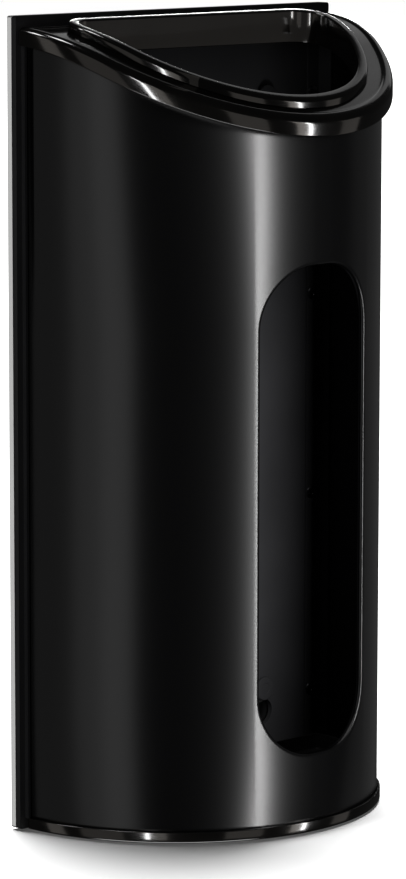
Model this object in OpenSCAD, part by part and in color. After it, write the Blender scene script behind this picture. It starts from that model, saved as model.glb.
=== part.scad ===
// Wall-hung half-round ash and litter bin: a sheet-metal body that hangs on a wall plate,
// with a lift-off sloping rim at the top and a moulded cap under the base.
// Frame: X along the wall, Y = 0 on the wall and the bin on the -Y side, Z up.
// The origin is the middle of the four wall holes, on the wall.

/* [Wall plate] */
// Height of the wall plate and of the whole bin
plate_h = 390; // [320:1:480]
// Thickness of the wall plate
wall_plate_t = 3.2; // [2.5:0.1:5]
// Margin of the plates past the shell, each side
plate_margin = 5.2; // [4:0.1:12]
// Diameter of each wall hole
wall_hole_d = 5.5; // [4:0.1:7]
// Diameter of the countersink at the front of each wall hole
wall_sink_d = 10; // [8:0.1:12]
// Distance of the wall holes from the sides of the plate
wall_hole_inset = 25; // [18:1:35]
// Distance of the wall holes from the top and bottom of the plate
wall_hole_end = 30; // [18:1:50]

/* [Hanging studs] */
// Diameter of a stud's shank
stud_d = 6; // [5:0.1:8]
// Diameter of a stud's head
stud_head_d = 12; // [10:0.1:14]
// Thickness of a stud's head
stud_head_t = 1.8; // [1.5:0.1:3]
// Height that the bin is lifted to free it from the studs
lift = 12; // [10:0.5:16]
// Distance of the studs from the middle, sideways
stud_x = 60; // [45:1:70]
// Distance of the studs from the top and bottom of the plate
stud_inset = 45; // [40:1:60]

/* [Back panel] */
// Thickness of the back panel
panel_t = 2.6; // [1.5:0.1:4]
// Gap between the wall plate and the back panel, kept by the washers
panel_gap = 0.5; // [0.4:0.1:1]
// Radius of the plates' corners
plate_corner_r = 1.5; // [0.5:0.1:4]

/* [Shell] */
// Outside radius of the half-round shell
shell_r = 100; // [80:1:125]
// Thickness of the shell's sheet
shell_t = 1.0; // [0.8:0.1:1.6]
// How far the shell's centre lies behind the panel's front face
centre_inset = 1.0; // [0:0.1:3]

/* [Slot] */
// Width of the slot, across its opening
slot_w = 69; // [50:1:84]
// Height of the slot's lower end above the base
slot_bottom = 38; // [25:1:60]
// Distance from the slot's upper end up to the rim
slot_top_gap = 61; // [40:1:90]
// Radius of the slot's corners
slot_corner_r = 30; // [10:1:34]
// Depth of the slot's turned-in edge
slot_lip = 3.2; // [2:0.1:5]

/* [Rim] */
// Overhang of the rim past the shell
rim_overhang = 5.2; // [3:0.1:8]
// Height of the rim's outer band
rim_h = 8.8; // [6:0.1:12]
// Wall thickness of the rim's moulding
rim_wall = 2.2; // [1.8:0.1:3]
// Slope of the rim's straight front part, in degrees
rim_slope = 27; // [20:1:32]
// Side-view radius of the rim's rear part, which levels out at the wall
rim_arc_r = 120; // [110:1:160]
// Distance from the wall at which the straight slope starts
bend_u = 52.6; // [40:0.1:58]
// Drop from the plate's top to the rim's rear edge
rim_drop = 4.8; // [4:0.1:12]
// Depth of the inner wall that centres the rim in the shell
locate_h = 14; // [10:0.5:20]

/* [Mouth] */
// Ledge between the rim's front edge and the mouth
front_ledge = 14.4; // [12:0.1:20]
// Ledge between the back panel and the mouth
rear_ledge = 8.8; // [8:0.1:14]
// Radius of the mouth's rear corners
mouth_corner_r = 12; // [6:0.5:20]
// Height of the raised lip around the mouth
lip_h = 3.4; // [2:0.1:4]
// Width of the raised lip
lip_w = 5; // [4:0.1:6]
// Wall thickness of the throat
throat_t = 2; // [1.5:0.1:2.5]
// Depth of the throat, from the top of the lip
throat_h = 16; // [10:0.5:25]

/* [Base] */
// Height of the base cap's outer band
base_h = 5.4; // [4.5:0.1:8]
// How far the base cap stands out past the shell
base_proud = 1.6; // [1.2:0.1:3]
// Thickness of the base cap's floor
base_floor_t = 2; // [1.5:0.1:3]
// Height of the top of the ash-proof floor pan
floor_z = 8; // [7.5:0.1:12]
// Thickness of the floor pan's sheet
pan_t = 1.0; // [0.8:0.1:1.5]
// Height of the floor pan's turned-up edge
pan_flange_h = 8; // [5:0.5:15]

/* [Edge channels] */
// Thickness of the edge channels' metal
channel_t = 0.8; // [0.6:0.1:1.2]
// How far a channel's outer leg stands in front of the panel
channel_leg = 2.2; // [1.8:0.1:5]
// How far a channel's inner leg stands in front of the panel
channel_inner_leg = 9; // [6:0.5:14]
// Width of a channel's web
channel_w = 12; // [10:0.5:16]

/* [Fasteners] */
// Number of rivets in each edge channel
rivet_count = 4; // [3:1:6]
// Diameter of a rivet's shank
rivet_d = 3.2; // [2.4:0.1:4]
// Diameter of a rivet's head
rivet_head_d = 6; // [5:0.1:7]
// Thickness of a rivet's head
rivet_head_t = 1; // [0.8:0.1:1.5]
// Diameter of the base screws' shank
base_screw_d = 3.2; // [2.6:0.1:4]
// Diameter of the base screws' head
base_screw_head_d = 6.4; // [5.6:0.1:8]
// Diameter of the mouth screws' shank
mouth_screw_d = 1.8; // [1.6:0.1:2]
// Diameter of the mouth screws' head
mouth_screw_head_d = 3; // [2.6:0.1:3]

/* [Fits] */
// Clearance between pieces that slide past each other
run_gap = 0.3; // [0.2:0.05:0.5]

/* [Hidden] */
$fn = 96;

cut = 1;               // how far a cutting shape runs past what it cuts
bend_dip = 0.02;       // keeps the slope's line just inside the arc, so that the two cross cleanly
bend_run = 6;          // how far the arc runs on under that line
big = 600;             // longer than anything here, for cuts that go right through
plate_w = 2 * (shell_r + plate_margin);
panel_back = wall_plate_t + panel_gap;
face = panel_back + panel_t;          // distance of the panel's front face from the wall
centre = face - centre_inset;         // distance of the shell's centre from the wall
shell_in = shell_r - shell_t;
side_run = 10;                        // how far the rim's side view runs on behind the wall

// Rim: its side view is an arc that runs into a straight slope
rim_r = shell_r + rim_overhang;
rim_back = face + run_gap;
arc_u = bend_u - rim_arc_r * sin(rim_slope);
arc_z = plate_h - rim_drop - sqrt(pow(rim_arc_r, 2) - pow(face - arc_u, 2));
bend_z = arc_z + rim_arc_r * cos(rim_slope) - bend_dip;
rim_front_u = centre + rim_r;
rim_front_z = bend_z - tan(rim_slope) * (rim_front_u - bend_u);
locate_r = shell_in - 3 * run_gap;    // outside of the centring wall, with room for its clips
locate_from = 20;                     // the centring wall starts this far from the wall

// Mouth: half a disc with rounded rear corners, its centre on its own rear edge
mouth_u = face + rear_ledge;
mouth_r = rim_front_u - front_ledge - mouth_u;
corner_x = sqrt(pow(mouth_r - mouth_corner_r, 2) - pow(mouth_corner_r, 2));
corner_a = atan2(mouth_corner_r, corner_x);
corner_over = 0.15;                   // the corners' arcs cross the mouth's arc by this much
mouth_screw_hold = 2;                 // depth of a mouth screw in the lip
mouth_screw_head_t = 1.4;
mouth_screw_angles = [-65, -28, 28, 65];
mouth_boss_h = 2 * rim_wall;          // depth of a screw boss below the ledge's top
throat_gap = 0.1;                     // clearance of the throat in the rim
mouth_screw_line = throat_t + throat_gap + mouth_screw_head_d / 2;
rear_screw_x = mouth_r / 2;

slot_top = rim_front_z - rim_h - slot_top_gap;
slot_h = slot_top - slot_bottom;

base_r = shell_r + base_proud;
groove_gap = 0.2;                     // clearance of the shell's foot in the base cap's groove
base_rib_t = 2;
boss_d = 10;
base_screw_sink = (base_screw_head_d - base_screw_d) / 2;
base_screw_end = 3;                   // how far a base screw stands up past the floor pan
base_screw_len = floor_z + base_screw_end;
base_screw_x = 0.6 * shell_r;
base_screw_rear = centre + 0.3 * shell_r;
base_screw_front = centre + 0.72 * shell_r;
base_screw_spots = [[0, base_screw_front], [-base_screw_x, base_screw_rear],
    [base_screw_x, base_screw_rear]];

leg_t = 1.5;                          // thickness of a channel's outer leg, hemmed double
channel_out = shell_r + run_gap + leg_t;
channel_inner_x = sqrt(pow(shell_in, 2) - pow(face + channel_inner_leg - centre, 2)) - run_gap;
channel_z0 = base_h;
channel_z1 = height_at(rim_back + rim_wall) - rim_h - run_gap;
channel_inner_z0 = floor_z + pan_flange_h + 2;
rivet_edge = 0.4;                     // metal left beside a rivet's head, in the channel's web
rivet_x = channel_out - channel_w + rivet_head_d / 2 + rivet_edge;
rivet_first = 40;                     // height of the lowest rivet
rivet_last = 30;                      // distance of the top rivet from the channel's end
rivet_step = (channel_z1 - rivet_last - rivet_first) / (rivet_count - 1);

stud_spots = [for (x = [-stud_x, stud_x], z = [stud_inset, plate_h - stud_inset]) [x, z]];
hole_x = plate_w / 2 - wall_hole_inset;
wall_spots = [for (x = [-hole_x, hole_x], z = [wall_hole_end, plate_h - wall_hole_end]) [x, z]];
wall_sink_h = (wall_sink_d - wall_hole_d) / 2;
stud_root_d = stud_d - 1;             // the part of a stud that is pressed into the plate
washer_d = 16;
pinch_gap = 0.1;                      // clearance of pieces that are clamped when screwed home

clip_t = 0.4;
clip_h = 8;
clip_half_angle = 4;
clip_angles = [-55, 0, 55];

// Height of the rim's top surface at a distance u from the wall
function height_at(u) = u < bend_u
    ? arc_z + sqrt(pow(rim_arc_r, 2) - pow(u - arc_u, 2))
    : bend_z - tan(rim_slope) * (u - bend_u);

// Everything is drawn with its base at z = 0 and moved so that the origin is mid-pattern
module placed() {
    translate([0, 0, -plate_h / 2]) children();
}

// A plan outline, in x and distance from the wall, raised from z0 to z1
module raised(z0, z1) {
    translate([0, 0, z0]) mirror([0, 1, 0]) linear_extrude(z1 - z0) children();
}

// A front-view outline, in x and z, given a depth from u0 to u1 out from the wall
module pushed(u0, u1) {
    translate([0, -u0, 0]) rotate([90, 0, 0]) linear_extrude(u1 - u0) children();
}

// A side-view outline, in distance from the wall and z, run right across the bin
module across() {
    rotate([90, 0, -90]) linear_extrude(big, center = true) children();
}

module round_rect(w, h, r) {
    translate([r, 0]) square([w - 2 * r, h]);
    translate([0, r]) square([w, h - 2 * r]);
    for (x = [r, w - r], y = [r, h - r]) translate([x, y]) circle(r);
}

// Half disc in plan, from a radius about the shell's centre, cut straight at u0
module half_disc(r, u0) {
    intersection() {
        translate([0, centre]) circle(r);
        translate([-big / 2, u0]) square([big, big]);
    }
}

// Half ring in plan
module half_ring(r_out, r_in, u0) {
    difference() {
        half_disc(r_out, u0);
        translate([0, centre]) circle(r_in);
    }
}

// Everything below the rim's top surface, lowered by drop
module below_rim(drop) {
    translate([0, -drop]) {
        polygon([[bend_u, -big / 2], [big / 2, -big / 2],
            [big / 2, height_at(big / 2)], [bend_u, bend_z]]);
        translate([-side_run, -big / 2]) square([bend_u + bend_run + side_run, arc_z + big / 2]);
        intersection() {
            translate([arc_u, arc_z]) circle(rim_arc_r);
            translate([-side_run, arc_z - cut])
                square([bend_u + bend_run + side_run, rim_arc_r + 2 * cut]);
        }
    }
}

// A layer that follows the rim's top surface, between two depths below it
module rim_layer(d0, d1) {
    across() difference() {
        below_rim(d0);
        below_rim(d1);
    }
}

// The mouth's outline in plan, grown outwards: a disc, two rear corners and a core between them
module mouth_plan(grow) {
    r = mouth_r + grow;
    rc = mouth_corner_r + grow;
    tx = r * cos(corner_a);
    tu = mouth_u + r * sin(corner_a);
    intersection() {
        translate([0, mouth_u]) circle(r);
        translate([-big / 2, tu]) square([big, big]);
    }
    polygon([[-corner_x, mouth_u - grow], [corner_x, mouth_u - grow],
        [tx - rc / 2, tu + rc / 2], [rc / 2 - tx, tu + rc / 2]]);
    for (s = [-1, 1]) translate([s * (corner_x + corner_over), mouth_u + mouth_corner_r]) circle(rc);
}

module mouth_screw_spots() {
    r = mouth_r + mouth_screw_line;
    for (a = mouth_screw_angles)
        translate([r * sin(a), -mouth_u - r * cos(a), height_at(mouth_u + r * cos(a))]) children();
    for (x = [-rear_screw_x, rear_screw_x])
        translate([x, -mouth_u + mouth_screw_line, height_at(mouth_u - mouth_screw_line)]) children();
}

module wall_plate() {
    color([0.72, 0.73, 0.74]) placed() difference() {
        pushed(0, wall_plate_t)
            translate([-plate_w / 2, 0]) round_rect(plate_w, plate_h, plate_corner_r);
        for (p = wall_spots) translate([p[0], 0, p[1]]) rotate([90, 0, 0]) {
            translate([0, 0, -cut]) cylinder(d = wall_hole_d, h = wall_plate_t + 2 * cut);
            translate([0, 0, wall_plate_t - wall_sink_h])
                cylinder(d1 = wall_hole_d, d2 = wall_sink_d, h = wall_sink_h);
        }
        for (p = stud_spots) translate([p[0], cut, p[1]]) rotate([90, 0, 0])
            cylinder(d = stud_root_d, h = wall_plate_t + 2 * cut);
    }
}

// Shouldered studs pressed into the wall plate, their heads inside the bin
module hanging_studs() {
    color([0.62, 0.63, 0.65]) placed()
        for (p = stud_spots) translate([p[0], 0, p[1]]) rotate([90, 0, 0]) {
            cylinder(d = stud_root_d, h = wall_plate_t + cut);
            translate([0, 0, wall_plate_t])
                cylinder(d = stud_d, h = face + run_gap - wall_plate_t + stud_head_t / 2);
            translate([0, 0, face + run_gap]) cylinder(d = stud_head_d, h = stud_head_t);
        }
}

// Nylon washers that keep the painted panel off the wall plate
module stud_washers() {
    color([0.85, 0.85, 0.82]) placed()
        for (p = stud_spots) translate([p[0], -wall_plate_t, p[1]]) rotate([90, 0, 0])
            difference() {
                cylinder(d = washer_d, h = panel_gap - pinch_gap);
                translate([0, 0, -cut]) cylinder(d = stud_d, h = panel_gap + 2 * cut);
            }
}

// Keyholes: the round part lets a head through, the narrow part hangs on a shank
module back_panel() {
    color([0.09, 0.09, 0.1]) placed() difference() {
        pushed(panel_back, face)
            translate([-plate_w / 2, 0]) round_rect(plate_w, plate_h, plate_corner_r);
        for (p = stud_spots) pushed(panel_back - cut, face + cut) translate(p) {
            circle(d = stud_d + 2 * run_gap);
            translate([-stud_d / 2 - run_gap, -lift]) square([stud_d + 2 * run_gap, lift]);
            translate([0, -lift]) circle(d = stud_head_d + 4 * run_gap);
        }
        rivet_shanks(-1, panel_back - cut);
        rivet_shanks(1, panel_back - cut);
    }
}

module rivet_shanks(side, from) {
    for (i = [0:rivet_count - 1])
        translate([side * rivet_x, -from, rivet_first + i * rivet_step]) rotate([90, 0, 0])
            cylinder(d = rivet_d, h = face + channel_t + cut - from);
}

// Channel that holds one upright edge of the shell against the back panel
module channel(side) {
    placed() difference() {
        scale([side, 1, 1]) union() {
            raised(channel_z0, channel_z1) {
                translate([channel_out - channel_w, face]) square([channel_w, channel_t]);
                translate([channel_out - leg_t, face]) square([leg_t, channel_leg]);
            }
            raised(channel_inner_z0, channel_z1)
                translate([channel_inner_x - channel_t, face]) square([channel_t, channel_inner_leg]);
        }
        rivet_shanks(side, face - cut);
    }
}

module left_channel() {
    color([0.12, 0.12, 0.13]) channel(-1);
}

module right_channel() {
    color([0.12, 0.12, 0.13]) channel(1);
}

// Blind rivets, flush at the back, with domed heads inside the bin
module channel_rivets(side) {
    placed() for (i = [0:rivet_count - 1])
        translate([side * rivet_x, -panel_back, rivet_first + i * rivet_step]) rotate([90, 0, 0]) {
            cylinder(d = rivet_d, h = panel_t + channel_t + rivet_head_t / 2);
            translate([0, 0, panel_t + channel_t]) cylinder(d = rivet_head_d, h = rivet_head_t);
        }
}

module left_channel_rivets() {
    color([0.5, 0.5, 0.52]) channel_rivets(-1);
}

module right_channel_rivets() {
    color([0.5, 0.5, 0.52]) channel_rivets(1);
}

module slot_plan(grow) {
    translate([-slot_w / 2 - grow, slot_bottom - grow])
        round_rect(slot_w + 2 * grow, slot_h + 2 * grow, slot_corner_r + grow);
}

// Rolled sheet, cut to the rim's slope and notched at the rear to pass the rim's wall, with a slot
// whose edge turns inwards
module body_shell() {
    u0 = face + channel_t;
    color([0.1, 0.1, 0.11]) placed() difference() {
        union() {
            intersection() {
                raised(base_floor_t, plate_h) half_ring(shell_r, shell_in, u0);
                across() below_rim(rim_wall + run_gap);
            }
            intersection() {
                raised(slot_bottom - 2 * slot_lip, slot_top + 2 * slot_lip)
                    half_ring(shell_r - shell_t / 2, shell_r - slot_lip, centre + shell_r / 2);
                pushed(centre + shell_r / 2, centre + shell_r) slot_plan(shell_t);
            }
        }
        pushed(centre + shell_r / 2, centre + shell_r + cut) slot_plan(0);
        raised(channel_z1, plate_h + big) translate([-big / 2, -big])
            square([big, big + rim_back + rim_wall + run_gap]);
    }
}

// Steel floor with a turned-up edge, welded into the shell, that keeps embers off the cap
module floor_pan() {
    u0 = face + channel_t + pinch_gap;
    color([0.16, 0.16, 0.17]) placed() difference() {
        raised(floor_z - pan_t, floor_z + pan_flange_h) half_disc(shell_in, u0);
        raised(floor_z, floor_z + pan_flange_h + cut) half_disc(shell_in - pan_t, u0 + pan_t);
        for (p = base_screw_spots) translate([p[0], -p[1], 0])
            cylinder(d = base_screw_d, h = big / 2);
    }
}

// Moulded cap under the base: outer band, floor, inner rib and three screw bosses
module base_cap() {
    rib_r = shell_in - groove_gap;
    color([0.05, 0.05, 0.055]) placed() difference() {
        union() {
            raised(0, base_floor_t) half_disc(base_r, face);
            raised(0, base_h) half_ring(base_r, shell_r + groove_gap, face);
            raised(0, floor_z - pan_t) half_ring(rib_r, rib_r - base_rib_t, face + channel_t);
            for (p = base_screw_spots) translate([p[0], -p[1], 0])
                cylinder(d = boss_d, h = floor_z - pan_t);
        }
        for (p = base_screw_spots) translate([p[0], -p[1], 0]) {
            translate([0, 0, -cut])
                cylinder(d = base_screw_d + 2 * groove_gap, h = floor_z + 2 * cut);
            cylinder(d1 = base_screw_head_d + 2 * groove_gap, d2 = base_screw_d + 2 * groove_gap,
                h = base_screw_sink);
        }
    }
}

// Countersunk screws that hold the cap up against the floor pan
module base_screws() {
    color([0.55, 0.55, 0.57]) placed()
        for (p = base_screw_spots) translate([p[0], -p[1], 0]) {
            cylinder(d1 = base_screw_head_d, d2 = base_screw_d, h = base_screw_sink);
            cylinder(d = base_screw_d, h = base_screw_len);
        }
}

// Lift-off moulding: outer band, sloping ledge, screw bosses and the inner wall that centres it
module top_rim() {
    color([0.04, 0.04, 0.045]) placed() difference() {
        union() {
            difference() {
                intersection() {
                    raised(0, plate_h) half_disc(rim_r, rim_back);
                    rim_layer(0, rim_h);
                }
                intersection() {
                    raised(0, plate_h) half_disc(rim_r - rim_wall, rim_back + rim_wall);
                    rim_layer(rim_wall, 2 * rim_h);
                }
            }
            intersection() {
                raised(0, plate_h) half_ring(locate_r, locate_r - rim_wall, locate_from);
                rim_layer(rim_wall / 2, locate_h);
            }
            mouth_screw_spots() translate([0, 0, -mouth_boss_h])
                cylinder(d = mouth_screw_head_d + 1, h = mouth_boss_h - rim_wall / 2);
        }
        raised(0, big / 2 + plate_h) mouth_plan(throat_t + throat_gap);
        mouth_screw_spots() translate([0, 0, -2 * mouth_boss_h])
            cylinder(d = mouth_screw_d, h = 4 * mouth_boss_h);
    }
}

// Raised lip and throat around the mouth, set into the rim from above
module mouth_ring() {
    color([0.05, 0.05, 0.055]) placed() difference() {
        union() {
            intersection() {
                raised(0, plate_h) mouth_plan(lip_w);
                rim_layer(-lip_h, 0);
            }
            intersection() {
                raised(0, plate_h) mouth_plan(throat_t);
                rim_layer(-lip_h / 2, throat_h - lip_h);
            }
        }
        raised(0, plate_h + cut) mouth_plan(0);
        mouth_screw_spots() translate([0, 0, -mouth_boss_h])
            cylinder(d = mouth_screw_d, h = mouth_boss_h + mouth_screw_hold);
    }
}

// Small screws, driven up through the ledge into the lip
module mouth_screws() {
    color([0.55, 0.55, 0.57]) placed() mouth_screw_spots() translate([0, 0, -mouth_boss_h]) {
        cylinder(d = mouth_screw_d, h = mouth_boss_h + mouth_screw_hold);
        translate([0, 0, -mouth_screw_head_t])
            cylinder(d = mouth_screw_head_d, h = mouth_screw_head_t);
    }
}

// Spring-steel clips that straddle the centring wall and grip the inside of the shell
module rim_clips() {
    r_in = locate_r - rim_wall;
    color([0.6, 0.6, 0.62]) placed() for (a = clip_angles) intersection() {
        translate([0, -centre, 0]) rotate([0, 0, -90 + a - clip_half_angle])
            rotate_extrude(angle = 2 * clip_half_angle) square([big / 2, plate_h]);
        union() {
            intersection() {
                raised(0, plate_h) {
                    half_ring(locate_r + clip_t, locate_r, locate_from);
                    half_ring(r_in, r_in - clip_t, locate_from);
                }
                rim_layer(locate_h - clip_h, locate_h + clip_t);
            }
            intersection() {
                raised(0, plate_h) half_ring(locate_r + clip_t, r_in - clip_t, locate_from);
                rim_layer(locate_h, locate_h + clip_t);
            }
        }
    }
}

wall_plate();
hanging_studs();
stud_washers();
back_panel();
left_channel();
right_channel();
left_channel_rivets();
right_channel_rivets();
body_shell();
floor_pan();
base_cap();
base_screws();
top_rim();
mouth_ring();
mouth_screws();
rim_clips();
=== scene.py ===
"""Builds the finished look of a wall-hung half-round ash and litter bin around its fixed frame."""

from math import acos, asin, atan2, cos, pi, radians, sin, sqrt, tan

import bmesh
import bpy
from bpy.props import FloatProperty, FloatVectorProperty, IntProperty, PointerProperty
from mathutils import Matrix, Vector


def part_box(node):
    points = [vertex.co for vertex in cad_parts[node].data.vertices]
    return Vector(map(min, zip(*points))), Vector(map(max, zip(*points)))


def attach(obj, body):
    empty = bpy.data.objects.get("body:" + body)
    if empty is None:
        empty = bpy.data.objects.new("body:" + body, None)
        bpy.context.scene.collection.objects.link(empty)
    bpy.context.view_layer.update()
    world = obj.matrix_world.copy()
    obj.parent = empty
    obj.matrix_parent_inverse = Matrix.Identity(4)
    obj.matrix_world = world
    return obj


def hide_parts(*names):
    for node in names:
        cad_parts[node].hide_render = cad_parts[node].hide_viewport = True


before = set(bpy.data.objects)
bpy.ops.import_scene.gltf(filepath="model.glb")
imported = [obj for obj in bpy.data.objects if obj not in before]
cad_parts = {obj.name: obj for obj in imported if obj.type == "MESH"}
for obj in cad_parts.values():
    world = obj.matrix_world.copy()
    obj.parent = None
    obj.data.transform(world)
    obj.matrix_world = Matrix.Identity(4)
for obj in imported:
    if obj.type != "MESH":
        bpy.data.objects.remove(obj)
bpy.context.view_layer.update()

bl_info = {
    "name": "Wall ash bin",
    "version": (1, 0, 0),
    "blender": (4, 5, 0),
    "location": "3D View > Sidebar > Ash bin",
    "description": "Models a wall-hung half-round ash and litter bin, its finishes and its studio",
    "category": "Object",
}

MM = 0.001
WELD = 1e-6  # vertices and heights closer than this count as the same
SHELL_TO_RIM = 0.3 * MM  # clearance that lets the rim lift off the shell

# Driving sizes, all taken from the boxes of the frame's nodes
wall_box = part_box("wall_plate")
panel_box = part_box("back_panel")
shell_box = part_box("body_shell")
pan_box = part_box("floor_pan")
cap_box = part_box("base_cap")
rim_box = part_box("top_rim")
ring_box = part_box("mouth_ring")
SHELL_R = shell_box[1].x
CENTRE = -shell_box[0].y - SHELL_R
RIM_R = -rim_box[0].y - CENTRE
CAP_R = -cap_box[0].y - CENTRE
BOTTOM = wall_box[0].z
TOP = wall_box[1].z


# ---------------------------------------------------------------- settings


def length(name, default, description, low=0.0, high=1.0):
    return FloatProperty(
        name=name, default=default, description=description, min=low, max=high, unit="LENGTH",
        precision=5,
    )


def colour(name, default, description):
    return FloatVectorProperty(
        name=name, default=default, description=description, size=3, min=0.0, max=1.0,
        subtype="COLOR",
    )


class AshBinSizes(bpy.types.PropertyGroup):
    """Sizes of the bin that its frame leaves to the finished pieces"""

    rim_slope: FloatProperty(
        name="Rim slope", default=radians(27), description="Slope of the rim's straight front part",
        subtype="ANGLE",
    )
    rim_arc: length("Rim arc", 120 * MM, "Side-view radius of the rim's rear part")
    rim_bend: length("Rim bend", 52.6 * MM, "Distance from the wall at which the straight slope starts")
    rim_height: length("Rim height", 8.8 * MM, "Height of the rim's outer band")
    rim_wall: length("Rim wall", 2.2 * MM, "Wall thickness of the rim's moulding")
    rim_crown: length("Rim crown", 3.2 * MM, "Radius of the rounded top of the rim's band")
    rim_corner: length("Rim corner", 2.6 * MM, "Radius of the rim's two rear corners in plan")
    ledge_sink: length("Ledge sink", 1.0 * MM, "How far the ledge lies below the crown of the band")
    centring_depth: length("Centring depth", 14 * MM, "Depth of the wall that centres the rim")
    mouth_corner: length("Mouth corner", 12 * MM, "Radius of the mouth's rear corners in plan")
    lip_height: length("Lip height", 3.4 * MM, "Height of the raised lip over the crown of the band")
    lip_width: length("Lip width", 5 * MM, "Width of the raised lip")
    throat_wall: length("Throat wall", 2 * MM, "Wall thickness of the throat")
    throat_depth: length("Throat depth", 16 * MM, "Depth of the throat from the top of the lip")
    sheet: length("Sheet", 1 * MM, "Thickness of the shell's sheet")
    slot_width: length("Slot width", 69 * MM, "Width of the slot")
    slot_bottom: length("Slot bottom", 38 * MM, "Height of the slot's lower end above the base")
    slot_top_gap: length("Slot top gap", 61 * MM, "Distance from the slot's upper end up to the rim")
    slot_corner: length("Slot corner", 30 * MM, "Radius of the slot's corners")
    slot_lip: length("Slot lip", 3.2 * MM, "Depth of the slot's turned-in edge")
    slot_roll: length("Slot roll", 2.2 * MM, "Radius of the bend where the slot's edge turns in")
    panel_round: length("Panel round", 1.15 * MM, "Radius of the back panel's rounded edge")
    plate_round: length("Plate round", 0.35 * MM, "Radius of the wall plate's broken edge")
    cap_round: length("Cap round", 0.9 * MM, "Radius of the base cap's lower edge")
    arc_steps: IntProperty(
        name="Arc steps", default=72, description="Steps in a quarter of the round plan", min=12
    )


class AshBinLooks(bpy.types.PropertyGroup):
    """Colours of the bin's finishes"""

    plate: colour("Wall plate", (0.68, 0.68, 0.67), "Bare metal of the wall plate")
    zinc: colour("Zinc", (0.10, 0.10, 0.105), "Black-plated studs, rivets and screws")
    nylon: colour("Nylon", (0.03, 0.03, 0.03), "Black nylon of the washers")
    panel: colour("Panel", (0.016, 0.016, 0.017), "Powder coat of the back panel and the channels")
    shell: colour("Shell", (0.0008, 0.0008, 0.0009), "Satin paint of the shell")
    pan: colour("Floor pan", (0.030, 0.030, 0.031), "Heat-proof paint of the floor pan")
    gloss: colour("Gloss", (0.0012, 0.0011, 0.001), "High-gloss mouldings")
    spring: colour("Spring", (0.45, 0.45, 0.46), "Spring steel of the rim's clips")
    floor: colour("Floor", (0.86, 0.86, 0.86), "Studio floor")


# ---------------------------------------------------------------- outlines


def rim_top(u):
    """Height of the rim's crown at a distance u from the wall: an arc, then a straight slope."""
    size = bpy.context.scene.ash_bin_sizes
    arc_u = size.rim_bend - size.rim_arc * sin(size.rim_slope)
    rear = ring_box[1].z - size.lip_height
    mouth_rear = -ring_box[1].y
    arc_z = rear - sqrt(size.rim_arc**2 - (mouth_rear - arc_u) ** 2)
    if u < size.rim_bend:
        return arc_z + sqrt(size.rim_arc**2 - (u - arc_u) ** 2)
    return arc_z + size.rim_arc * cos(size.rim_slope) - tan(size.rim_slope) * (u - size.rim_bend)


def half_round(radius, middle, rear, corner, steps):
    """Half a disc with rounded rear corners, as (x, distance from the wall), from the rear."""
    corner = max(corner, 0.2 * MM)
    corner_u = rear + corner
    corner_x = sqrt((radius - corner) ** 2 - (corner_u - middle) ** 2)
    start = atan2(corner_u - middle, corner_x)
    rear_steps, corner_steps = steps // 4, steps // 8
    half = [(corner_x * i / rear_steps, rear) for i in range(rear_steps)]
    for i in range(corner_steps):
        angle = -pi / 2 + (start + pi / 2) * i / corner_steps
        half.append((corner_x + corner * cos(angle), corner_u + corner * sin(angle)))
    for i in range(steps):
        angle = start + (pi / 2 - start) * i / steps
        half.append((radius * cos(angle), middle + radius * sin(angle)))
    return half + [(0, middle + radius)] + [(-x, u) for x, u in reversed(half[1:])]


def mixed(first, second, share):
    """The outline that lies between two others."""
    return [
        (a[0] + (b[0] - a[0]) * share, a[1] + (b[1] - a[1]) * share) for a, b in zip(first, second)
    ]


def arc(middle, radius, start, end, steps):
    """Points on an arc, from one angle in degrees to another."""
    angles = [radians(start + (end - start) * i / steps) for i in range(steps + 1)]
    return [(middle[0] + radius * cos(a), middle[1] + radius * sin(a)) for a in angles]


def quarter(steps):
    """Angles of a quarter turn."""
    return [pi / 2 * i / steps for i in range(steps + 1)]


def circle(spot, radius, height, steps=32):
    """A level circle of points."""
    angles = [2 * pi * i / steps for i in range(steps)]
    return [(spot[0] + radius * cos(a), spot[1] + radius * sin(a), height) for a in angles]


def draped(plan, height):
    """A plan outline, laid on the rim's crown and raised by a height."""
    return [(x, -u, rim_top(u) + height) for x, u in plan]


def mouth_plan(size, grow):
    """The mouth's outline, grown outwards."""
    lip = size.lip_width
    rear = -ring_box[1].y + lip
    radius = -ring_box[0].y - lip - rear
    return half_round(radius + grow, rear, rear - grow, size.mouth_corner + grow, size.arc_steps)


# ---------------------------------------------------------------- mesh helpers


def loft(bm, loops, closed=False):
    """Skins a row of loops with quads, and joins the last to the first where it is closed."""
    rings = [[bm.verts.new(point) for point in points] for points in loops]
    pairs = list(zip(rings, rings[1:]))
    if closed:
        pairs.append((rings[-1], rings[0]))
    for first, second in pairs:
        for i in range(len(first)):
            bm.faces.new((first[i - 1], first[i], second[i], second[i - 1]))
    return [[bm.edges.get((ring[i - 1], ring[i])) for i in range(len(ring))] for ring in rings]


def turn(profile, steps=32):
    """A turned piece: an outline of (radius, height) spun round the Z axis."""
    bm = bmesh.new()
    verts = [bm.verts.new((radius, 0, height)) for radius, height in profile]
    edges = [bm.edges.new(pair) for pair in zip(verts, verts[1:])]
    bmesh.ops.spin(
        bm, geom=verts + edges, axis=(0, 0, 1), cent=(0, 0, 0), angle=2 * pi, steps=steps,
        use_merge=True,
    )
    bmesh.ops.remove_doubles(bm, verts=bm.verts, dist=WELD)
    bmesh.ops.recalc_face_normals(bm, faces=bm.faces)
    return bm


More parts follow.
